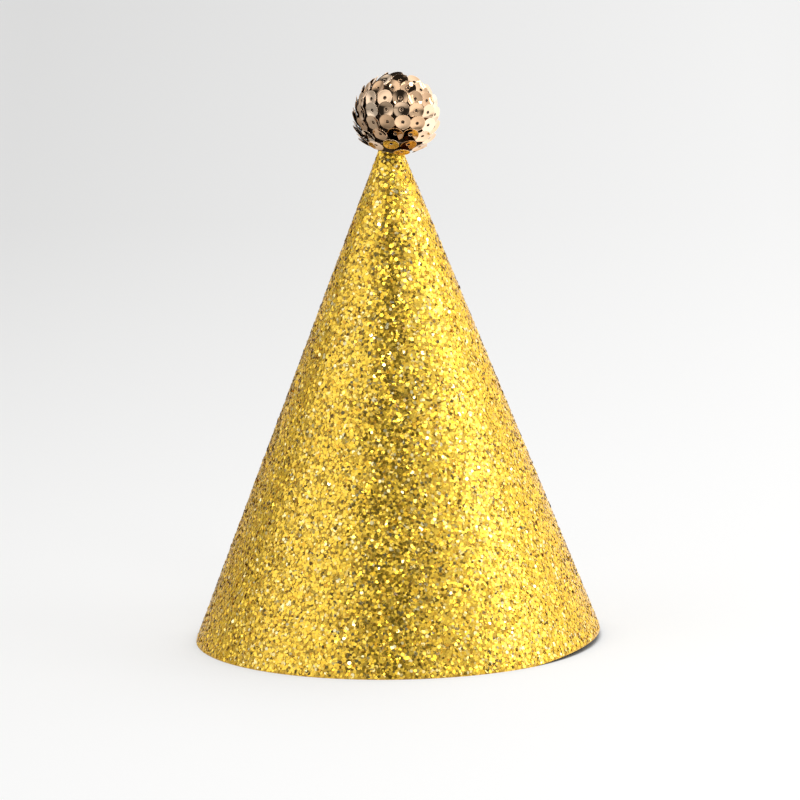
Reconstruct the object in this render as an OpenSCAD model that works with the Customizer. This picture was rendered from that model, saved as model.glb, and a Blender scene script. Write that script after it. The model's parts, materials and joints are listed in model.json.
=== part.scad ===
// Party hat: a rolled cone of glitter card with a sequin ball on its tip.
// Millimetres. The origin is the centre of the rim on the table, +Z runs up the cone, -Y faces the viewer
// and the lap seam is at the back, towards +Y.

/* [Cone] */
// Outside diameter of the rim
rim_d = 130; // [110:1:160]
// Height at which the sides of the cone would meet
apex_h = 168; // [140:1:200]
// How far below that point the rolled tip ends
tip_cut = 5; // [4:0.5:7]
// Thickness of the card
card_t = 0.4; // [0.3:0.05:0.7]
// Thickness of the glitter coat on the card
coat_t = 0.3; // [0.2:0.05:0.5]
// Gap drawn between layers that are bonded together
bond_gap = 0.02; // [0.01:0.01:0.05]

/* [Seam] */
// Width of the lap at the rim
lap_w = 12; // [8:1:20]
// Thickness of the tape inside the lap
tape_t = 0.1; // [0.05:0.05:0.3]
// Bare strip of lap on each side of the tape, at the rim
tape_side = 2; // [1:0.5:3]
// Distance from the rim to the lower end of the tape
tape_low = 4; // [2:1:10]
// Distance from the point of the cone to the upper end of the tape
tape_high = 40; // [30:1:60]

/* [Rim lift] */
// Width of the part of the rim, on the right, that stands off the table
lift_w = 22; // [12:1:30]
// Height of the rim above the table at its right edge
lift_h = 2.1; // [0.5:0.1:4]

/* [Strap holes] */
// Diameter of the two punched holes
strap_hole_d = 3; // [2:0.5:5]
// Height of the holes above the rim
strap_hole_h = 12; // [8:1:20]
// Angle from each side of the hat towards the back
strap_hole_turn = 12; // [8:1:30]

/* [Ball] */
// Diameter of the foam core
core_d = 24; // [22:0.5:30]
// Height of the core's centre above the point of the cone
ball_rise = 1.4; // [1:0.1:3.5]
// Distance of the core's centre to the right of the cone's axis
ball_shift = 2; // [0:0.1:2.5]
// Thickness of the glue round the tip
glue_t = 0.8; // [0.4:0.1:1.5]
// Thickness of the glue above the tip
glue_cap = 1.5; // [0.5:0.1:3]

/* [Thread] */
// Diameter of the thread that carries the sequins
thread_d = 0.4; // [0.2:0.05:0.5]
// Gap between the core and the thread
thread_gap = 0.15; // [0.08:0.01:0.2]
// Lean of the winding's axis towards the back
winding_lean = 20; // [10:1:25]
// Turn of that lean towards the right
winding_turn = 15; // [0:1:30]
// Gap between the neck of the cone and what is wound round it
neck_gap = 0.3; // [0.2:0.1:0.6]

/* [Sequins] */
// Diameter of a sequin
sequin_d = 5.3; // [4.5:0.1:6]
// Diameter of its hole
sequin_hole_d = 1; // [0.6:0.1:1.4]
// Diameter of the flat at the bottom of its dish
sequin_flat_d = 2; // [1.6:0.1:2.4]
// Depth of its dish
cup_depth = 0.25; // [0.15:0.05:0.35]
// Thickness of its foil
sequin_t = 0.15; // [0.1:0.05:0.2]
// Angle by which its upper edge stands off the ball
sequin_tilt = 18; // [16:1:22]
// Angle by which it lies over the sequin before it on the thread
sequin_roll = 8; // [7:0.5:10]
// Gap between the thread and a sequin
sequin_gap = 0.2; // [0.1:0.05:0.3]
// How far it covers the sequin before it
side_overlap = 0.45; // [0.3:0.05:0.8]
// How far each row covers the row above it
row_overlap = 1.4; // [1:0.1:1.5]
// Angle from the top of the winding to the first sequin of the first row
crown_turn = 20.5; // [19:0.5:24]
// Number of sequins in the tail of the thread, which hang free of the glue
loose_count = 6; // [4:1:8]
// Gap between neighbours in the tail
tail_gap = 0.1; // [0.05:0.01:0.2]
// Angle by which the upper edge of a loose sequin stands off the ball at rest
tail_tilt = 12; // [10:1:14]

/* [Hidden] */
// Turn of the strand between two rings of the thread's surface, and sides of each ring
thread_step = 12;
thread_sides = 8;
// Length by which a cutting shape runs past what it cuts
cut_over = 5;
// The same for the hollow of the cone, which has little room before its point
bore_over = 1;
$fn = 96;

// The cone: its outside radius at a height, and the level width of a layer for each mm of its thickness
rim_r = rim_d / 2;
taper = rim_r / apex_h;
tip_h = apex_h - tip_cut;
wall_lean = atan(taper);
layer_w = 1 / cos(wall_lean);
function cone_r(z) = rim_r - z * taper;

// Level widths of the layers, and how far each lies in from the outside of the coat
coat_w = coat_t * layer_w;
card_w = card_t * layer_w;
tape_w = tape_t * layer_w;
gap_w = bond_gap * layer_w;
card_inset = coat_w + gap_w;
tape_inset = -gap_w - tape_w;

// The lap: how far its outer end is moved back to lie on the inner end, and half its angle
lap_shift = card_inset + card_w + tape_w + 2 * gap_w;
lap_turn = lap_w / rim_r * 90 / PI;
tape_turn = (lap_w / 2 - tape_side) / rim_r * 180 / PI;
tape_top = apex_h - tape_high;

// The ball and the strand wound on it
core_r = core_d / 2;
ball_pos = [ball_shift, 0, apex_h + ball_rise];
thread_r = core_r + thread_gap + thread_d / 2;
seat_r = thread_r + thread_d / 2 + sequin_gap;
sequin_r = sequin_d / 2;
sequin_pitch = sequin_d - side_overlap;
tail_pitch = sequin_d + tail_gap;
row_turn = (sequin_d - row_overlap) / seat_r * 180 / PI;

// A point on the strand is named by t, its turn from the front in degrees, clockwise from above.
// The strand goes one row down in each turn, so polar(t) is its angle from the top of the winding.
function polar(t) = crown_turn + row_turn * t / 360;
function around(t) = -90 - t;
function outward(t) = [sin(polar(t)) * cos(around(t)), sin(polar(t)) * sin(around(t)), cos(polar(t))];
function southward(t) = [cos(polar(t)) * cos(around(t)), cos(polar(t)) * sin(around(t)), -sin(polar(t))];

// Turns a direction on the winding into the hat's own frame
function leaned(v) = [
    v.x,
    v.y * cos(winding_lean) + v.z * sin(winding_lean),
    v.z * cos(winding_lean) - v.y * sin(winding_lean)
];
function turned(v) = [
    v.x * cos(winding_turn) + v.y * sin(winding_turn),
    v.y * cos(winding_turn) - v.x * sin(winding_turn),
    v.z
];
function strand_point(t, r) = ball_pos + turned(leaned(outward(t))) * r;

// Distance from a point to the widest side of the cone's lap, along the level
function neck_distance(p) = norm([p.x, p.y]) - cone_r(p.z) - lap_shift;
function thread_clear(t) = neck_distance(strand_point(t, thread_r)) > thread_d / 2 + neck_gap;
function sequin_clear(t) = neck_distance(strand_point(t, seat_r)) > sequin_r + neck_gap;

// The next place on the strand, one pitch further along it, measured where the turn is tighter
function stride(t, pitch) = 2 * asin(min(pitch / (2 * seat_r * sin(polar(t))), 1));
function next_t(t, pitch) = t + max(stride(t, pitch), stride(t + stride(t, pitch), pitch));

// Places for sequins: on the rows, down to the first place that the neck leaves no room for, and side by side
// on a tail that goes on from one of them, up to the last row that has room for two
rows = [for (t = 0; sequin_clear(t); t = next_t(t, sequin_pitch)) t];
last_polar = 180 - asin(tail_pitch / (2 * seat_r));
function tail_after(t) = [
    for (u = next_t(t, tail_pitch); polar(u) < last_polar; u = next_t(u, tail_pitch)) if (sequin_clear(u)) u
];

// The rows are glued down as far as leaves the tail its number of sequins, which hang by the thread
function glued_most(n) = len(tail_after(rows[n - 1])) >= loose_count ? n : glued_most(n - 1);
glued = [for (i = [0 : glued_most(len(rows)) - 1]) rows[i]];
tail = tail_after(glued[len(glued) - 1]);
loose = [for (k = [0 : loose_count - 1]) tail[k]];

// The glued sequins are divided into runs of about one turn of the strand each
run_count = 7;
function run_of(i) = floor(i * run_count / len(glued)) + 1;

// The thread starts under the crown and is parted where the neck passes through it
thread_start = -260;
thread_ts = [for (t = thread_start; t <= loose[loose_count - 1]; t = t + thread_step) t];
thread_firsts = [
    for (i = [0 : len(thread_ts) - 1])
        if (thread_clear(thread_ts[i]) && (i == 0 || !thread_clear(thread_ts[i - 1]))) i
];

function run_name(k) = str("sequin_run_", k);
function loose_name(k) = str("loose_sequin_", k);

// A solid of the cone's taper between two heights, its side moved in by inset
module taper_solid(inset, low, high) {
    translate([0, 0, low])
        rotate(-90)
            cylinder(h = high - low, r1 = cone_r(low) - inset, r2 = cone_r(high) - inset);
}

// A conical layer whose outside lies inset inside the outside of the coat
module layer(inset, width, low, high) {
    difference() {
        taper_solid(inset, low, high);
        taper_solid(inset + width, low - bore_over, high + bore_over);
    }
}

// A cutting shape with this outline, from below the rim to above the tip
module tall(outline) {
    translate([0, 0, -cut_over])
        linear_extrude(apex_h + cut_over)
            polygon(outline);
}

// The quarter at the back right, from the right side to a line at an angle from the back
module back_right(turn) {
    reach = rim_d;
    tall([
        [0, 0],
        [reach, 0],
        [reach, reach],
        reach * [sin(turn), cos(turn)]
    ]);
}

// An outline in the plane of the right side, carried back by the shift of the lap
module carried_back(outline) {
    translate([0, lap_shift, 0])
        rotate([90, 0, 0])
            linear_extrude(lap_shift)
                polygon(outline);
}

// What lifts the rim off the table on the right
module rim_lift() {
    slope = lift_h / lift_w;
    start = rim_r - lift_w - cut_over;
    edge = rim_r + cut_over;
    translate([0, rim_d, 0])
        rotate([90, 0, 0])
            linear_extrude(2 * rim_d)
                polygon([
                    [start, -slope * cut_over],
                    [edge, slope * (lift_w + cut_over)],
                    [edge, -cut_over]
                ]);
}

// A punch through the wall at an angle round the axis
module strap_punch(angle) {
    rotate(angle)
        translate([cone_r(strap_hole_h), 0, strap_hole_h])
            rotate([0, 90 - wall_lean, 0])
                cylinder(h = 2 * cut_over, d = strap_hole_d, center = true);
}

// One layer of the rolled sheet. Its start lies round the cone's own axis, and its last quarter is moved back
// so that its end laps over the start. A straight strip at the right side joins the two.
module rolled_sheet(inset, width) {
    difference() {
        union() {
            difference() {
                layer(inset, width, 0, tip_h);
                back_right(lap_turn);
            }
            carried_back([
                [cone_r(0) - inset, 0],
                [cone_r(tip_h) - inset, tip_h],
                [cone_r(tip_h) - inset - width, tip_h],
                [cone_r(0) - inset - width, 0]
            ]);
            translate([0, lap_shift, 0])
                intersection() {
                    layer(inset, width, 0, tip_h);
                    back_right(-lap_turn);
                }
        }
        rim_lift();
        strap_punch(180 - strap_hole_turn);
        translate([0, lap_shift, 0])
            strap_punch(strap_hole_turn);
    }
}

// The outside of the cone's tip with its lap, grown by a gap, as a solid
module tip_outside(gap) {
    low = apex_h - core_r;
    high = tip_h + gap;
    for (shift = [0, lap_shift])
        translate([0, shift, low])
            cylinder(h = high - low, r1 = cone_r(low) + gap, r2 = cone_r(tip_h) + gap);
    carried_back([
        [0, low],
        [cone_r(low) + gap, low],
        [cone_r(tip_h) + gap, high],
        [0, high]
    ]);
}

// The outside of the glue round the tip, grown by a gap
module glue_outside(gap) {
    low = apex_h - core_r;
    high = tip_h + glue_cap;
    round_lap = lap_shift / 2 + glue_t * layer_w + gap;
    translate([0, lap_shift / 2, low])
        cylinder(h = high + gap - low, r1 = cone_r(low) + round_lap, r2 = cone_r(high) + round_lap);
}

// A dished disc with a hole, its flat underside on the XY plane
module sequin() {
    rotate_extrude()
        polygon([
            [sequin_hole_d / 2, 0],
            [sequin_flat_d / 2, 0],
            [sequin_r, cup_depth],
            [sequin_r, cup_depth + sequin_t],
            [sequin_flat_d / 2, sequin_t],
            [sequin_hole_d / 2, sequin_t]
        ]);
}

// Puts its children on the winding's axis, or at the place of a sequin on the strand
module on_winding() {
    translate(ball_pos)
        rotate([-winding_lean, 0, -winding_turn])
            children();
}

module on_strand(t, roll, tilt) {
    on_winding()
        rotate([0, polar(t), around(t)])
            translate([0, 0, seat_r])
                rotate([roll, tilt, 0])
                    children();
}

// A round tube along the strand, through the points named by ts
module thread_run(ts) {
    points = [
        for (t = ts)
            for (s = [0 : thread_sides - 1])
                let (a = s * 360 / thread_sides)
                    outward(t) * (thread_r + thread_d / 2 * cos(a)) + southward(t) * thread_d / 2 * sin(a)
    ];
    last = len(ts) - 1;
    sides = [
        for (i = [0 : last - 1])
            for (s = [0 : thread_sides - 1])
                let (a = i * thread_sides + s, b = i * thread_sides + (s + 1) % thread_sides)
                    each [[a, b, b + thread_sides], [a, b + thread_sides, a + thread_sides]]
    ];
    start_cap = [for (s = [thread_sides - 1 : -1 : 0]) s];
    end_cap = [for (s = [0 : thread_sides - 1]) last * thread_sides + s];
    on_winding()
        polyhedron(points, concat(sides, [start_cap, end_cap]));
}

module cone_card() {
    color("wheat")
        rolled_sheet(card_inset, card_w);
}

module glitter_coat() {
    color("goldenrod")
        rolled_sheet(0, coat_w);
}

module seam_tape() {
    color("ivory")
        intersection() {
            layer(tape_inset, tape_w, tape_low, tape_top);
            tall([
                [0, 0],
                rim_d * [sin(tape_turn), cos(tape_turn)],
                rim_d * [-sin(tape_turn), cos(tape_turn)]
            ]);
        }
}

module tip_glue() {
    color("lightyellow")
        difference() {
            intersection() {
                translate(ball_pos)
                    sphere(core_r);
                glue_outside(0);
            }
            tip_outside(bond_gap);
        }
}

module foam_core() {
    color("white")
        difference() {
            translate(ball_pos)
                sphere(core_r);
            glue_outside(bond_gap);
        }
}

module sequin_thread() {
    color("tan")
        for (first = thread_firsts)
            thread_run([
                for (i = first; i < len(thread_ts) && thread_clear(thread_ts[i]); i = i + 1) thread_ts[i]
            ]);
}

module crown_sequin() {
    color("peru")
        on_winding()
            translate([0, 0, seat_r])
                sequin();
}

module sequin_run(k) {
    color("rosybrown")
        for (i = [0 : len(glued) - 1])
            if (run_of(i) == k)
                on_strand(glued[i], sequin_roll, sequin_tilt)
                    sequin();
}

module loose_sequin(k) {
    color("sandybrown")
        on_strand(loose[k - 1], 0, tail_tilt)
            sequin();
}

cone_card();
glitter_coat();
seam_tape();
tip_glue();
foam_core();
sequin_thread();
crown_sequin();
for (k = [1 : run_count])
    sequin_run(k);
for (k = [1 : loose_count])
    loose_sequin(k);
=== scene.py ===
"""Party hat: a rolled cone of glitter card with a sequin ball on its tip, dressed round the CAD frame."""

import json
import math

import bmesh
import bpy
import numpy as np
from mathutils import Matrix, Vector


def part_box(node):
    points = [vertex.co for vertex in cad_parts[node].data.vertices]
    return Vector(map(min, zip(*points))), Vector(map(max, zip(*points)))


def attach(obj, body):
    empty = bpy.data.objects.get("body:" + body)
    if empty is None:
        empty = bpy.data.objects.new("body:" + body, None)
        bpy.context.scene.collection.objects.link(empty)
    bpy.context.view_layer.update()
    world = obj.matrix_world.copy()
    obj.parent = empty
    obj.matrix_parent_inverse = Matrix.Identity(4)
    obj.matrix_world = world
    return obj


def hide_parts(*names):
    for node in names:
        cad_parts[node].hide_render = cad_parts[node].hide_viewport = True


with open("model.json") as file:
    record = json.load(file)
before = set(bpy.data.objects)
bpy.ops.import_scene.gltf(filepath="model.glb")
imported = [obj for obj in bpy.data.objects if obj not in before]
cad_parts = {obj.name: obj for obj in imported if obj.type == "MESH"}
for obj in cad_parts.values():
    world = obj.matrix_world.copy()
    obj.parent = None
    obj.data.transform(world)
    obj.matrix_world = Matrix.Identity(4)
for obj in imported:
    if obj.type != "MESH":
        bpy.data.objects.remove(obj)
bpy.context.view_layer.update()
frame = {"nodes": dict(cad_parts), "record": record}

# Sizes are in metres and angles in degrees. Azimuths run from the front, -Y, towards the right, +X.
# Turns on the cone run from the right, +X, towards the back, +Y.
MM = 0.001

# The rolled cone, as the frame has it: its sheet ends over its own start at the back, its rim lifts on the
# right, and its strap holes lie a little behind its sides
RIM_R = 65 * MM
APEX_H = 168 * MM
RIM_SLOPE = RIM_R / APEX_H
WALL_LEAN = math.atan(RIM_SLOPE)
LAP_SHIFT = 0.922 * MM
LAP_HALF_TURN = 5.3
BACK_TURN = 90
SHEET_BARE_TO = BACK_TURN + LAP_HALF_TURN
SHEET_END = BACK_TURN + 360 + LAP_HALF_TURN
LIFT_W = 22 * MM
LIFT_H = 2.1 * MM
STRAP_HOLE_H = 12 * MM
STRAP_HOLE_R = 1.5 * MM
STRAP_HOLE_TURN = 12

# Glitter: loose flakes of gold film on the coat. FLAKE_REACH is how far the corners are from the middle, as
# shares of half the size, and FLAKE_SLANT_MOST is a slope. Tones are a mean and a spread.
FLAKE_SEED = 11
FLAKE_COUNT = 66000
FLAKE_PIECES = 8
FLAKE_SIDES = 6
FLAKE_SIZE = (0.85 * MM, 1.45 * MM)
FLAKE_REACH = (0.85, 1.1)
FLAKE_TILT = 6
FLAKE_TILT_MOST = 18
FLAKE_SLANT = 11
FLAKE_SLANT_LOOSE = 24
FLAKE_SLANT_MOST = 1.0
LOOSE_SHARE = 0.35
FLAKE_SINK = 0.3
FLAKE_LIFT = 0.05 * MM
FLAKE_TOP = 158.5 * MM
FLAKE_TONE = (0.5, 0.22)

# Scatter of the flakes: steps of an even sequence round and up the sheet, and a little chance
STEP_ROUND = 0.7548776662466927
STEP_UP = 0.5698402909980532
SCATTER = 0.0015

# How far a flake's middle stays from the rim, the lap's edge and a strap hole, as a share of its size
RIM_CLEAR = 0.52
LAP_CLEAR = 0.45
HOLE_CLEAR = 0.4

# Sequins: dished discs of foil with a hole, flat round the hole
SEQUIN_SEED = 5
SEQUIN_R = 2.65 * MM
SEQUIN_HOLE_R = 0.5 * MM
SEQUIN_MIDDLE_R = 0.7 * MM
SEQUIN_FLAT_R = 1.0 * MM
SEQUIN_SIDES = 48
DISH_DEPTH = 0.25 * MM
DISH_CURVE = 1.25
DISH_STEPS = 9
FOIL_T = 0.15 * MM
EDGE_ANGLES = (-45, 0, 45)
SEQUIN_JITTER = 1.5
SEQUIN_SLANT = 4
SEQUIN_TONE = (0.5, 0.2)
CUP_LEAN = 5

# Small margins: for welding the points of CAD solids, round each flake's cell of the UV map, and to keep the
# last flake in the last piece
WELD = 0.001 * MM
CELL_MARGIN = 0.08
TINY = 1e-9

# View: the camera looks down on the hat a little, from far off, and leans to the right
VIEW_ELEVATION = 11.0
VIEW_DISTANCE = 5.0
VIEW_FAR = 50.0
VIEW_LENS = 705.0
VIEW_SENSOR = 36.0
VIEW_ROLL = 1.05
VIEW_TARGET = Vector((1.6 * MM, 0, 77.4 * MM))

# Room: its brightness in mirrors, the least of it, and what the camera sees of it. Its soft patches have an
# azimuth, an elevation, an inner and an outer radius, and what they add, below 0 where they are dark.
ROOM_TONE = 0.5
ROOM_DARKEST = 0.03
ROOM_SHOWN = 0.86
ROOM_PATCHES = [
    (-6, 27, 8, 18, -0.4),
    (-4, -2, 14, 34, -0.47),
    (8, 74, 22, 38, -0.9),
    (-76, 38, 20, 48, 1.0),
    (80, 10, 40, 80, 0.4),
    (-120, 34, 12, 34, -0.3),
    (-140, 58, 14, 32, -1.0),
    (140, 12, 30, 70, 0.4),
    (-150, 5, 15, 40, 0.2),
    (170, 25, 30, 70, 0.35),
]

# Lamps: name, azimuth, elevation, distance, width, height and radiance
LAMPS = [
    ("key_pane_58", 58, 25, 1.1, 0.16, 0.6, 1.8),
    ("key_pane_72", 72, 25, 1.1, 0.16, 0.6, 3.2),
    ("key_pane_86", 86, 25, 1.1, 0.16, 0.6, 4.2),
    ("glint_right", 26, 50, 1.1, 0.2, 0.28, 9.0),
    ("glint_left", -20, 50, 1.1, 0.12, 0.22, 10.0),
    ("top_back", 150, 62, 1.2, 0.6, 0.4, 2.5),
]

# Floor: how far it reaches, and from where it fades to the tone of its edge
FLOOR_SIDE, FLOOR_FRONT, FLOOR_BACK = 1.1, -0.8, 1.8
FADE_SIDE, FADE_FRONT, FADE_BACK = 0.3, -0.3, 1.3
FLOOR_EDGE = 0.585
# Floor: its tone at the front left and front right, how much darker it is at the back, and where that is.
# The darker left and back are painted shade.
FLOOR_LEFT, FLOOR_RIGHT = 0.59, 0.655
FLOOR_FALL_LEFT, FLOOR_FALL_RIGHT = 0.155, 0.05
TONE_SIDE, TONE_BACK = 0.14, 0.75
# Floor in mirrors: shares of its tone at two places across, and where it ends at the front. The brighter
# right is painted light in the mirrors.
MIRROR_LEFT, MIRROR_LEFT_SHARE = -0.2, 0.25
MIRROR_RIGHT, MIRROR_RIGHT_SHARE = 0.16, 2.0
MIRROR_FRONT, MIRROR_NEAR = -0.6, -0.25
# Floor under the hat: how far the shade reaches, and how open the floor is in full shade and out of it
SHADE_REACH = 0.2
SHADE_FULL, SHADE_NONE = 0.35, 0.74

# The middle of the ball
core_low, core_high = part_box("foam_core")
core_r = (core_high.y - core_low.y) / 2
ball = Vector(((core_low.x + core_high.x) / 2, (core_low.y + core_high.y) / 2, core_high.z - core_r))


# Meshes

def mesh_piece(name, points, faces, material):
    """A new object from an array of points and an array of faces."""
    mesh = bpy.data.meshes.new(name)
    mesh.from_pydata(points.tolist(), [], faces.tolist())
    mesh.update()
    mesh.materials.append(material)
    piece = bpy.data.objects.new(name, mesh)
    bpy.context.scene.collection.objects.link(piece)
    return piece


def point_values(piece, name, values):
    """Stores one number for each vertex, for the material to read."""
    layer = piece.data.attributes.new(name, "FLOAT", "POINT")
    layer.data.foreach_set("value", values.astype(np.float32))


def point_vectors(piece, name, vectors):
    """Stores one vector for each vertex."""
    layer = piece.data.attributes.new(name, "FLOAT_VECTOR", "POINT")
    layer.data.foreach_set("vector", vectors.astype(np.float32).ravel())


def bake_cells(piece, corner_cell, corner_place, cells):
    """A UV map with a square cell for each flake. corner_place is from 0 to 1 within the cell."""
    across = math.ceil(math.sqrt(cells))
    column, row = corner_cell % across, corner_cell // across
    inside = CELL_MARGIN + (1 - 2 * CELL_MARGIN) * corner_place
    uv = np.stack([column + inside[:, 0], row + inside[:, 1]], 1) / across
    layer = piece.data.uv_layers.new(name="OFBake")
    layer.data.foreach_set("uv", uv.astype(np.float32).ravel())


# Nodes

def add_node(tree, kind, inputs=None, **settings):
    """A new node with its settings, and its inputs set or linked."""
    made = tree.nodes.new(kind)
    for key, value in settings.items():
        setattr(made, key, value)
    for key, value in (inputs or {}).items():
        if isinstance(value, bpy.types.NodeSocket):
            tree.links.new(value, made.inputs[key])
        else:
            made.inputs[key].default_value = value
    return made


def new_material(name, inputs):
    """A material whose Principled shader has these inputs. Returns it with its tree and shader."""
    made = bpy.data.materials.new(name)
    made.use_nodes = True
    shader = made.node_tree.nodes["Principled BSDF"]
    for key, value in inputs.items():
        shader.inputs[key].default_value = value
    return made, made.node_tree, shader


def calc(tree, operation, first, second=0.0):
    """A sum or the like of one or two sockets or numbers."""
    return add_node(tree, "ShaderNodeMath", {0: first, 1: second}, operation=operation).outputs[0]


def map_range(tree, source, start, end, low=0.0, high=1.0, **settings):
    """A socket's run from start to end, mapped on to the run from low to high and held at its ends."""
    return add_node(tree, "ShaderNodeMapRange", {
        "Value": source, "From Min": start, "From Max": end, "To Min": low, "To Max": high,
    }, **settings).outputs["Result"]


def mix(tree, share, first, second):
    """A number between two others, by a share from 0 to 1."""
    return add_node(tree, "ShaderNodeMix", {0: share, 2: first, 3: second}).outputs[0]


def spread(tree, source, low, high):
    """A socket that runs from 0 to 1, mapped on to a range."""
    return map_range(tree, source, 0.0, 1.0, low, high)


def ramp(tree, source, stops):
    """A colour ramp of (place, colour) stops, driven by a socket."""
    made = add_node(tree, "ShaderNodeValToRGB", {"Fac": source})
    elements = made.color_ramp.elements
    while len(elements) < len(stops):
        elements.new(0.5)
    for element, (place, color) in zip(elements, stops):
        element.position = place
        element.color = (*color, 1)
    return made.outputs["Color"]


def stored(tree, name, output="Fac"):
    """The number or vector that each vertex has under this name."""
    return add_node(tree, "ShaderNodeAttribute", attribute_name=name).outputs[output]


def place_on_piece(tree):
    """A socket with the place on the piece."""
    return add_node(tree, "ShaderNodeTexCoord").outputs["Object"]


def noise(tree, scale, detail=3.0):
    """Soft clouds, finer with a larger scale."""
    inputs = {"Vector": place_on_piece(tree), "Scale": scale, "Detail": detail}
    return add_node(tree, "ShaderNodeTexNoise", inputs).outputs["Fac"]


def bump(tree, shader, height, distance, strength):
    """Adds to the lean of the shader's normal, if it has one."""
    made = add_node(tree, "ShaderNodeBump", {"Height": height, "Distance": distance, "Strength": strength})
    for link in shader.inputs["Normal"].links:
        tree.links.new(link.from_socket, made.inputs["Normal"])
    tree.links.new(made.outputs["Normal"], shader.inputs["Normal"])


def lean_normal(tree, shader, slant):
    """Leans the shader's normal by a side vector."""
    normal = add_node(tree, "ShaderNodeNewGeometry").outputs["Normal"]
    leaned = add_node(tree, "ShaderNodeVectorMath", {0: slant, 1: normal}, operation="ADD")
    unit = add_node(tree, "ShaderNodeVectorMath", {0: leaned.outputs[0]}, operation="NORMALIZE")
    tree.links.new(unit.outputs[0], shader.inputs["Normal"])


# Materials of the hat

def flake_material():
    """Gold film under a clear coat: each flake has its own tone and slant, and pale ones are smoother."""
    made, tree, shader = new_material("gold_flakes", {
        "Metallic": 0.86, "Specular Tint": (1.0, 0.74, 0.28, 1), "Coat Weight": 0.35, "Coat Roughness": 0.06,
    })
    tone = stored(tree, "tone")
    gold = ramp(tree, tone, [
        (0.0, (0.62, 0.32, 0.02)),
        (0.25, (0.84, 0.52, 0.035)),
        (0.75, (0.94, 0.64, 0.075)),
        (1.0, (0.99, 0.88, 0.48)),
    ])
    tree.links.new(gold, shader.inputs["Base Color"])
    tree.links.new(spread(tree, tone, low=0.24, high=0.1), shader.inputs["Roughness"])
    lean_normal(tree, shader, stored(tree, "slant", "Vector"))
    return made


def binder_material():
    """The coat under the loose flakes: dark gold resin full of smaller flakes, each with its own slant."""
    made, tree, shader = new_material("gold_binder", {"Metallic": 0.75, "Roughness": 0.42})
    inputs = {"Vector": place_on_piece(tree), "Scale": 1300.0}
    cells = add_node(tree, "ShaderNodeTexVoronoi", inputs).outputs["Color"]
    gold = ramp(tree, cells, [
        (0.15, (0.48, 0.26, 0.025)),
        (0.55, (0.70, 0.42, 0.045)),
        (0.9, (0.86, 0.55, 0.07)),
    ])
    tree.links.new(gold, shader.inputs["Base Color"])
    centred = add_node(tree, "ShaderNodeVectorMath", {0: cells, 1: (0.5, 0.5, 0.5)}, operation="SUBTRACT")
    slant = add_node(tree, "ShaderNodeVectorMath", {0: centred.outputs[0], "Scale": 0.7}, operation="SCALE")
    lean_normal(tree, shader, slant.outputs[0])
    return made


def card_material():
    """White card: a matte sheet with fibres and faint clouds."""
    made, tree, shader = new_material("white_card", {"Roughness": 0.82, "Specular IOR Level": 0.25})
    white = ramp(tree, noise(tree, scale=90.0, detail=6.0), [
        (0.3, (0.80, 0.76, 0.68)),
        (0.7, (0.88, 0.85, 0.78)),
    ])
    tree.links.new(white, shader.inputs["Base Color"])
    bump(tree, shader, noise(tree, scale=2600.0, detail=5.0), distance=0.05 * MM, strength=0.6)
    return made


def tape_material():
    """Double-sided tape: pale, with gloss in patches."""
    made, tree, shader = new_material("tape", {"Specular IOR Level": 0.6})
    pale = ramp(tree, noise(tree, scale=400.0), [
        (0.3, (0.80, 0.78, 0.68)),
        (0.7, (0.88, 0.86, 0.78)),
    ])
    tree.links.new(pale, shader.inputs["Base Color"])
    tree.links.new(spread(tree, noise(tree, scale=150.0), low=0.2, high=0.4), shader.inputs["Roughness"])
    return made


def glue_material():
    """Hot glue: a soft, slightly see-through amber white."""
    made, tree, shader = new_material("glue", {
        "Roughness": 0.3, "Subsurface Weight": 0.2, "Subsurface Scale": 0.001,
    })
    amber = ramp(tree, noise(tree, scale=700.0), [
        (0.3, (0.62, 0.46, 0.22)),
        (0.7, (0.76, 0.62, 0.36)),
    ])
    tree.links.new(amber, shader.inputs["Base Color"])
    bump(tree, shader, noise(tree, scale=900.0), distance=0.1 * MM, strength=0.5)
    return made


def foam_painted_shade_material():
    """The core between the sequins: foam beads, near-black brown as painted shade for the dark gaps between
    the sequins.
    """
    made, tree, shader = new_material("foam", {"Roughness": 0.8, "Specular IOR Level": 0.2})
    inputs = {"Vector": place_on_piece(tree), "Scale": 450.0}
    beads = add_node(tree, "ShaderNodeTexVoronoi", inputs).outputs["Distance"]
    # Near-black brown: painted shade, standing in for the shade in the gaps between the sequins
    brown = ramp(tree, beads, [
        (0.0, (0.10, 0.06, 0.035)),
        (0.8, (0.04, 0.022, 0.012)),
    ])
    tree.links.new(brown, shader.inputs["Base Color"])
    bump(tree, shader, beads, distance=-0.2 * MM, strength=0.8)
    return made


def thread_material():
    """Spun thread: fine plies."""
    made, tree, shader = new_material("thread", {"Roughness": 0.7, "Sheen Weight": 0.3})
    inputs = {"Vector": place_on_piece(tree), "Scale": 900.0, "Distortion": 1.5}
    plies = add_node(tree, "ShaderNodeTexWave", inputs).outputs["Fac"]
    brown = ramp(tree, plies, [
        (0.2, (0.24, 0.14, 0.08)),
        (0.8, (0.46, 0.30, 0.19)),
    ])
    tree.links.new(brown, shader.inputs["Base Color"])
    bump(tree, shader, plies, distance=0.05 * MM, strength=0.6)
    return made


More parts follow.
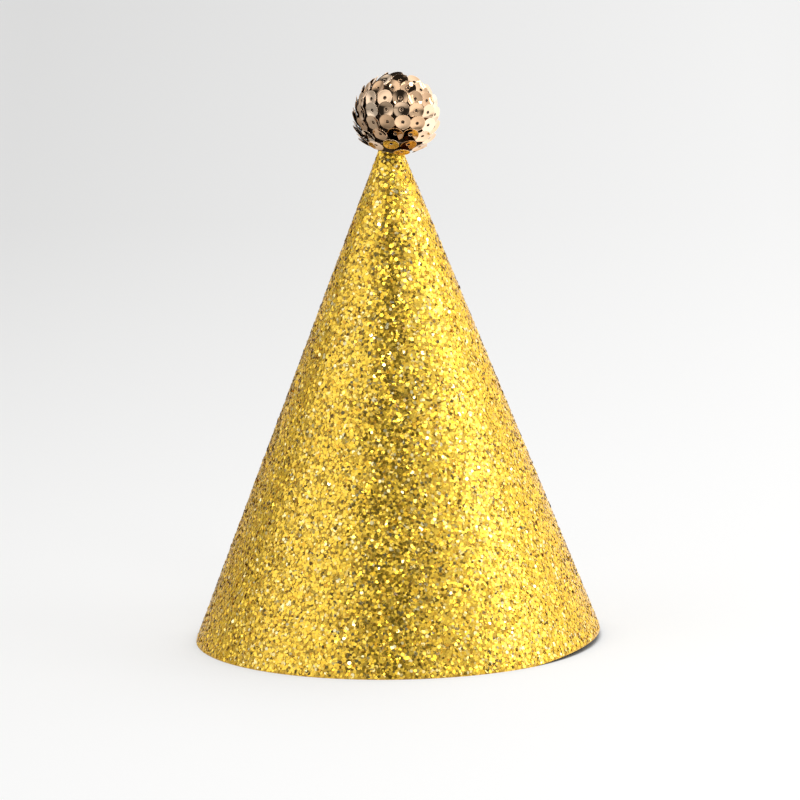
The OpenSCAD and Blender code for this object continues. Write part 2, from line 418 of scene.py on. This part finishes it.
def foil_material():
    """Champagne foil with faint press marks and a near-black back, which is painted shade for the pockets
    between rows as the discs mirror them: each sequin has its own tone and slant.
    """
    made, tree, shader = new_material("sequin_foil", {"Metallic": 1.0})
    front = ramp(tree, stored(tree, "tone"), [
        (0.0, (0.46, 0.25, 0.12)),
        (0.5, (0.70, 0.47, 0.29)),
        (1.0, (0.88, 0.72, 0.55)),
    ])
    # The near-black back is painted shade: the discs mirror it as dark pockets under each row
    back = (0.07, 0.035, 0.02, 1)
    both = add_node(tree, "ShaderNodeMix", {0: stored(tree, "back"), 6: front, 7: back}, data_type="RGBA")
    tree.links.new(both.outputs[2], shader.inputs["Base Color"])
    lean_normal(tree, shader, stored(tree, "slant", "Vector"))
    marks = noise(tree, scale=1500.0, detail=2.0)
    tree.links.new(spread(tree, marks, low=0.04, high=0.12), shader.inputs["Roughness"])
    bump(tree, shader, marks, distance=0.03 * MM, strength=0.2)
    return made


# Glitter flakes

def rim_edge(x):
    """Height of the rim above the table: it lifts on the right."""
    return np.maximum(x - (RIM_R - LIFT_W), 0) * LIFT_H / LIFT_W


def strap_hole_centres():
    """Where the two strap holes come out of the coat."""
    r = RIM_R - STRAP_HOLE_H * RIM_SLOPE
    turn = math.radians(STRAP_HOLE_TURN)
    return np.array([
        [-r * math.cos(turn), r * math.sin(turn), STRAP_HOLE_H],
        [r * math.cos(turn), r * math.sin(turn) + LAP_SHIFT, STRAP_HOLE_H],
    ])


def flake_places(rng):
    """Evenly scattered places on the rolled sheet: their turn and position.

    The sheet starts under the lap, a little right of the back, runs round by the left, the front and the
    right, and ends over its start. The start is left bare where the end covers it.
    """
    index = np.arange(FLAKE_COUNT)
    u = (STEP_ROUND * index + rng.normal(0, SCATTER, FLAKE_COUNT)) % 1
    v = (STEP_UP * index + rng.normal(0, SCATTER, FLAKE_COUNT)) % 1
    turn = np.radians(SHEET_BARE_TO + (SHEET_END - SHEET_BARE_TO) * u)
    top_r = RIM_R - FLAKE_TOP * RIM_SLOPE
    r = np.sqrt(top_r ** 2 + v * (RIM_R ** 2 - top_r ** 2))
    height = (RIM_R - r) / RIM_SLOPE
    shift = np.where(turn > math.tau, LAP_SHIFT, 0)
    place = np.stack([r * np.cos(turn), r * np.sin(turn) + shift, height], 1)
    return turn, place


def clear_of_edges(turn, place, size):
    """Which flakes stay clear of the rim, of the sheet's end in the lap and of the strap holes."""
    keep = place[:, 2] > rim_edge(place[:, 0]) + RIM_CLEAR * size
    to_end = (math.radians(SHEET_END) - turn) * (RIM_R - place[:, 2] * RIM_SLOPE)
    keep &= to_end > LAP_CLEAR * size
    for hole in strap_hole_centres():
        keep &= np.linalg.norm(place - hole, axis=1) > STRAP_HOLE_R + HOLE_CLEAR * size
    return keep


def wall_axes(turn):
    """The wall's normal at each turn, and its ways around and up."""
    zero = np.zeros(len(turn))
    normal = np.stack([
        np.cos(turn) * math.cos(WALL_LEAN), np.sin(turn) * math.cos(WALL_LEAN), zero + math.sin(WALL_LEAN),
    ], 1)
    around = np.stack([-np.sin(turn), np.cos(turn), zero], 1)
    return normal, around, np.cross(normal, around)


def flake_corners(rng, place, size, axes):
    """Corner points of every flake, which tilts on the wall any way round and sinks into it a little."""
    normal, around, up = axes
    count = len(place)
    tilt = np.radians(np.minimum(np.abs(rng.normal(0, FLAKE_TILT, count)), FLAKE_TILT_MOST))
    lean = rng.uniform(0, math.tau, count)
    across = around * np.cos(lean)[:, None] + up * np.sin(lean)[:, None]
    downhill = np.cross(normal, across)
    along = downhill * np.cos(tilt)[:, None] + normal * np.sin(tilt)[:, None]
    rise = size / 2 * np.sin(tilt) * (1 - FLAKE_SINK) + rng.uniform(0, FLAKE_LIFT, count)
    centre = place + normal * rise[:, None]

    spin = rng.uniform(0, math.tau, count)
    corners = []
    for k in range(FLAKE_SIDES):
        angle = spin + math.tau * k / FLAKE_SIDES
        reach = size / 2 * rng.uniform(*FLAKE_REACH, count)
        side, end = np.cos(angle) * reach, np.sin(angle) * reach
        corners.append(centre + across * side[:, None] + along * end[:, None])
    return np.stack(corners, 1)


def flake_slants(rng, axes):
    """How far the mirror of each flake leans from its film, as a side vector. Loose flakes lean more."""
    _, around, up = axes
    count = len(around)
    loose = rng.random(count) < LOOSE_SHARE
    angle = np.abs(rng.normal(0, np.where(loose, FLAKE_SLANT_LOOSE, FLAKE_SLANT)))
    lean = np.minimum(np.tan(np.radians(angle)), FLAKE_SLANT_MOST)
    way = rng.uniform(0, math.tau, count)
    return around * (lean * np.cos(way))[:, None] + up * (lean * np.sin(way))[:, None]


def make_flakes(material):
    """The flakes, in pieces that are sectors of the cone."""
    rng = np.random.default_rng(FLAKE_SEED)
    turn, place = flake_places(rng)
    size = rng.uniform(*FLAKE_SIZE, FLAKE_COUNT)
    keep = clear_of_edges(turn, place, size)
    turn = turn[keep]
    axes = wall_axes(turn)
    corners = flake_corners(rng, place[keep], size[keep], axes)
    slant = flake_slants(rng, axes)
    tone = np.clip(rng.normal(*FLAKE_TONE, len(turn)), 0, 1)
    whole = turn.max() - turn.min() + TINY
    sector = ((turn - turn.min()) / whole * FLAKE_PIECES).astype(int)
    for k in range(FLAKE_PIECES):
        chosen = sector == k
        flake_piece(f"glitter_flakes_{k + 1}", corners[chosen], tone[chosen], slant[chosen], material)


def flake_piece(name, corners, tone, slant, material):
    """One piece of flakes, with what its material reads, on the hat."""
    count = len(corners)
    faces = np.arange(count * FLAKE_SIDES).reshape(count, FLAKE_SIDES)
    piece = mesh_piece(name, corners.reshape(-1, 3), faces, material)
    point_values(piece, "tone", np.repeat(tone, FLAKE_SIDES))
    point_vectors(piece, "slant", np.repeat(slant, FLAKE_SIDES, 0))
    ring = np.arange(FLAKE_SIDES) * math.tau / FLAKE_SIDES
    cell_place = 0.5 + 0.5 * np.stack([np.cos(ring), np.sin(ring)], 1)
    bake_cells(piece, np.repeat(np.arange(count), FLAKE_SIDES), np.tile(cell_place, (count, 1)), count)
    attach(piece, "hat")


# Sequins

def solids_of(node):
    """The vertex positions of each separate solid of a CAD node."""
    bm = bmesh.new()
    bm.from_mesh(frame["nodes"][node].data)
    bmesh.ops.remove_doubles(bm, verts=bm.verts, dist=WELD)
    seen, found = set(), []
    for start in bm.verts:
        if start in seen:
            continue
        seen.add(start)
        waiting, points = [start], []
        while waiting:
            vert = waiting.pop()
            points.append(vert.co[:])
            for edge in vert.link_edges:
                other = edge.other_vert(vert)
                if other not in seen:
                    seen.add(other)
                    waiting.append(other)
        found.append(np.array(points))
    bm.free()
    return found


def sequin_seat(points):
    """The middle of a CAD sequin's underside, and the way it faces, off the ball."""
    middle = points.mean(0)
    # A disc spreads least along its normal, which is the last axis of the three
    normal = np.linalg.svd(points - middle)[2][2]
    if normal @ (middle - np.array(ball)) < 0:
        normal = -normal
    return middle + normal * ((points - middle) @ normal).min(), normal


def sequin_profile():
    """Half the section of a sequin, from the underside of its hole round the rim to the top of its hole.

    Returns it with a list that is true at the points of its back.
    """
    edge_r = SEQUIN_R - FOIL_T / 2
    edge_z = DISH_DEPTH + FOIL_T / 2
    under = [(SEQUIN_HOLE_R, 0.0), (SEQUIN_MIDDLE_R, 0.0)]
    for share in np.linspace(0, 1, DISH_STEPS):
        r = SEQUIN_FLAT_R + (edge_r - SEQUIN_FLAT_R) * share
        under.append((r, DISH_DEPTH * share ** DISH_CURVE))
    edge = [
        (edge_r + FOIL_T / 2 * math.cos(a), edge_z + FOIL_T / 2 * math.sin(a))
        for a in np.radians(EDGE_ANGLES)
    ]
    profile = under + edge + [(r, z + FOIL_T) for r, z in reversed(under)]
    return np.array(profile), np.arange(len(profile)) < len(under)


def sequin_mesh():
    """Points and faces of one sequin with its underside on the XY plane, and which points are its back."""
    profile, back = sequin_profile()
    turns = np.arange(SEQUIN_SIDES) * math.tau / SEQUIN_SIDES
    points = np.stack([
        np.outer(np.cos(turns), profile[:, 0]), np.outer(np.sin(turns), profile[:, 0]),
        np.tile(profile[:, 1], (SEQUIN_SIDES, 1)),
    ], 2).reshape(-1, 3)
    n = len(profile)
    faces = []
    for i in range(SEQUIN_SIDES):
        here, there = i * n, (i + 1) % SEQUIN_SIDES * n
        for j in range(n):
            after = (j + 1) % n
            faces.append((here + j, there + j, there + after, here + after))
    return points, np.array(faces), np.tile(back, SEQUIN_SIDES)


def placed(points, seat, normal, rng):
    """A sequin's points on its seat, leaned a little by chance and turned about itself."""
    facing = Vector(normal).to_track_quat("Z", "Y").to_matrix()
    lean = Matrix.Rotation(math.radians(rng.normal(0, SEQUIN_JITTER)), 3, "X")
    turn = Matrix.Rotation(rng.uniform(0, math.tau), 3, "Z")
    matrix = np.array(facing @ turn @ lean)
    return points @ matrix.T + seat


def sequin_slant(normal, rng):
    """How far the foil of a sequin leans from its disc, as a side vector."""
    side = rng.normal(0, math.tan(math.radians(SEQUIN_SLANT)), 3)
    return side - normal * (side @ normal)


def cup_lean(points, seat, normal):
    """How far the foil leans in towards the hole, more at the rim, as a side vector for each point."""
    offset = points - seat
    outward = offset - np.outer(offset @ normal, normal)
    return outward * (-math.tan(math.radians(CUP_LEAN)) / SEQUIN_R)


def make_sequins(node, body, material, rng):
    """The detailed sequins that stand for a CAD node."""
    points, faces, back = sequin_mesh()
    seats = [sequin_seat(solid) for solid in solids_of(node)]
    count, each = len(seats), len(points)
    discs = [placed(points, seat, normal, rng) for seat, normal in seats]
    all_faces = np.concatenate([faces + k * each for k in range(count)])
    piece = mesh_piece(f"{node}_foil", np.concatenate(discs), all_faces, material)
    piece.data.shade_smooth()
    tone = np.clip(rng.normal(*SEQUIN_TONE, count), 0, 1)
    slants = [
        cup_lean(disc, seat, normal) + sequin_slant(normal, rng)
        for disc, (seat, normal) in zip(discs, seats)
    ]
    point_values(piece, "tone", np.repeat(tone, each))
    point_values(piece, "back", np.tile(back, count))
    point_vectors(piece, "slant", np.concatenate(slants))
    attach(piece, body)
    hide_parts(node)


# Stage, light and camera

def way_to(azimuth, elevation):
    """The direction at this angle, as seen from the hat."""
    a, e = math.radians(azimuth), math.radians(elevation)
    return Vector((math.sin(a) * math.cos(e), -math.cos(a) * math.cos(e), math.sin(e)))


def around_hat(azimuth, elevation, distance):
    """A place at this angle and distance from what the camera looks at."""
    return VIEW_TARGET + way_to(azimuth, elevation) * distance


def softbox(name, azimuth, elevation, distance, width, height, radiance):
    """A rectangular lamp that faces the hat."""
    lamp = bpy.data.lights.new(name, "AREA")
    lamp.shape = "RECTANGLE"
    lamp.size, lamp.size_y = width, height
    # An area lamp's power is pi times its area times its radiance
    lamp.energy = radiance * math.pi * width * height
    made = bpy.data.objects.new(name, lamp)
    made.location = around_hat(azimuth, elevation, distance)
    made.rotation_euler = (made.location - VIEW_TARGET).to_track_quat("Z", "Y").to_euler()
    bpy.context.scene.collection.objects.link(made)


def floor_edge(tree, axes):
    """A socket that runs from 0 to 1 towards the floor's edges, where it fades into the room behind."""
    sideways = calc(tree, "ABSOLUTE", axes["X"])
    to_side = map_range(tree, sideways, FADE_SIDE, FLOOR_SIDE)
    to_back = map_range(tree, axes["Y"], FADE_BACK, FLOOR_BACK)
    to_front = map_range(tree, axes["Y"], FADE_FRONT, FLOOR_FRONT)
    return calc(tree, "MAXIMUM", calc(tree, "MAXIMUM", to_side, to_back), to_front)


def floor_tone(tree, axes):
    """How bright the floor looks: painted shade at the left and at the back, and a painted shadow near the
    hat, from how open the floor is.
    """
    side = map_range(tree, axes["X"], -TONE_SIDE, TONE_SIDE)
    depth = map_range(tree, axes["Y"], 0.0, TONE_BACK)
    fall = calc(tree, "MULTIPLY", depth, spread(tree, side, FLOOR_FALL_LEFT, FLOOR_FALL_RIGHT))
    tone = calc(tree, "SUBTRACT", spread(tree, side, FLOOR_LEFT, FLOOR_RIGHT), fall)
    tone = mix(tree, floor_edge(tree, axes), tone, FLOOR_EDGE)
    openness = add_node(tree, "ShaderNodeAmbientOcclusion", {"Distance": SHADE_REACH}).outputs["AO"]
    return calc(tree, "MULTIPLY", tone, map_range(tree, openness, SHADE_FULL, SHADE_NONE))


def floor_share(tree, axes):
    """How much of that tone a ray sees: all for the camera, part of it for mirrors, with painted light at
    the right where mirrors see more, and none for other light.
    """
    path = add_node(tree, "ShaderNodeLightPath").outputs
    mirror = calc(tree, "MAXIMUM", path["Is Glossy Ray"], path["Is Transmission Ray"])
    across = map_range(tree, axes["X"], MIRROR_LEFT, MIRROR_RIGHT, MIRROR_LEFT_SHARE, MIRROR_RIGHT_SHARE)
    mirror = calc(tree, "MULTIPLY", mirror, across)
    mirror = calc(tree, "MULTIPLY", mirror, map_range(tree, axes["Y"], MIRROR_FRONT, MIRROR_NEAR))
    return calc(tree, "MAXIMUM", path["Is Camera Ray"], mirror)


def floor_material():
    """Pale paper, lifted towards white for the camera and for mirrors. It still takes the shadow."""
    made, tree, shader = new_material("pale_floor", {
        "Base Color": (0.34, 0.34, 0.335, 1), "Roughness": 0.9, "Specular IOR Level": 0.1,
        "Emission Color": (1, 1, 1, 1),
    })
    place = add_node(tree, "ShaderNodeNewGeometry").outputs["Position"]
    axes = add_node(tree, "ShaderNodeSeparateXYZ", {"Vector": place}).outputs
    lift = calc(tree, "MULTIPLY", floor_share(tree, axes), floor_tone(tree, axes))
    tree.links.new(lift, shader.inputs["Emission Strength"])
    return made


def make_stage():
    """A flat floor, which fills the camera's view."""
    points = np.array([
        (-FLOOR_SIDE, FLOOR_FRONT, 0), (FLOOR_SIDE, FLOOR_FRONT, 0),
        (FLOOR_SIDE, FLOOR_BACK, 0), (-FLOOR_SIDE, FLOOR_BACK, 0),
    ])
    mesh_piece("floor", points, np.array([(0, 1, 2, 3)]), floor_material())


def room_tone(tree):
    """The brightness of the room that flakes and sequins mirror, with its soft bright and dark patches."""
    way = add_node(tree, "ShaderNodeTexCoord").outputs["Generated"]
    tone = ROOM_TONE
    for azimuth, elevation, inner, outer, amount in ROOM_PATCHES:
        inputs = {0: way, 1: way_to(azimuth, elevation)}
        near = add_node(tree, "ShaderNodeVectorMath", inputs, operation="DOT_PRODUCT").outputs["Value"]
        far, full = math.cos(math.radians(outer)), math.cos(math.radians(inner))
        patch = map_range(tree, near, far, full, high=amount, interpolation_type="SMOOTHSTEP")
        tone = calc(tree, "ADD", tone, patch)
    return calc(tree, "MAXIMUM", tone, ROOM_DARKEST)


def make_world():
    """A room with patches for mirrors and light, which the camera sees as one pale tone."""
    world = bpy.data.worlds.new("room")
    bpy.context.scene.world = world
    world.use_nodes = True
    tree = world.node_tree
    seen = add_node(tree, "ShaderNodeLightPath").outputs["Is Camera Ray"]
    shown = mix(tree, seen, room_tone(tree), ROOM_SHOWN)
    tree.links.new(shown, tree.nodes["Background"].inputs["Strength"])
    tree.nodes["Background"].inputs["Color"].default_value = (1, 1, 1, 1)


def make_camera():
    """Leans the camera by turning its up and right axes in the picture plane."""
    lens = bpy.data.cameras.new("camera")
    lens.lens = VIEW_LENS
    lens.sensor_width = VIEW_SENSOR
    lens.clip_end = VIEW_FAR
    made = bpy.data.objects.new("camera", lens)
    bpy.context.scene.collection.objects.link(made)
    made.location = around_hat(0, VIEW_ELEVATION, VIEW_DISTANCE)
    back = (made.location - VIEW_TARGET).normalized()
    right = Vector((0, 0, 1)).cross(back).normalized()
    up = back.cross(right)
    roll = math.radians(VIEW_ROLL)
    leaned_up = up * math.cos(roll) + right * math.sin(roll)
    leaned_right = right * math.cos(roll) - up * math.sin(roll)
    made.rotation_euler = Matrix((leaned_right, leaned_up, back)).transposed().to_euler()
    bpy.context.scene.camera = made


# The hat

def finish_node(node, material):
    """Gives a CAD node that stays its material."""
    slots = frame["nodes"][node].data.materials
    slots.clear()
    slots.append(material)


def main():
    """Sets the stage, gives the plain pieces their materials, and makes the flakes and sequins."""
    make_camera()
    make_stage()
    make_world()
    for lamp in LAMPS:
        softbox(*lamp)
    bpy.context.scene.view_settings.view_transform = "Standard"

    finish_node("cone_card", card_material())
    finish_node("glitter_coat", binder_material())
    finish_node("seam_tape", tape_material())
    finish_node("tip_glue", glue_material())
    finish_node("foam_core", foam_painted_shade_material())
    finish_node("sequin_thread", thread_material())
    make_flakes(flake_material())

    rng = np.random.default_rng(SEQUIN_SEED)
    foil = foil_material()
    for body, nodes in frame["record"]["behaviour"]["bodies"].items():
        for node in nodes:
            if "sequin" in node and node != "sequin_thread":
                make_sequins(node, body, foil, rng)


main()
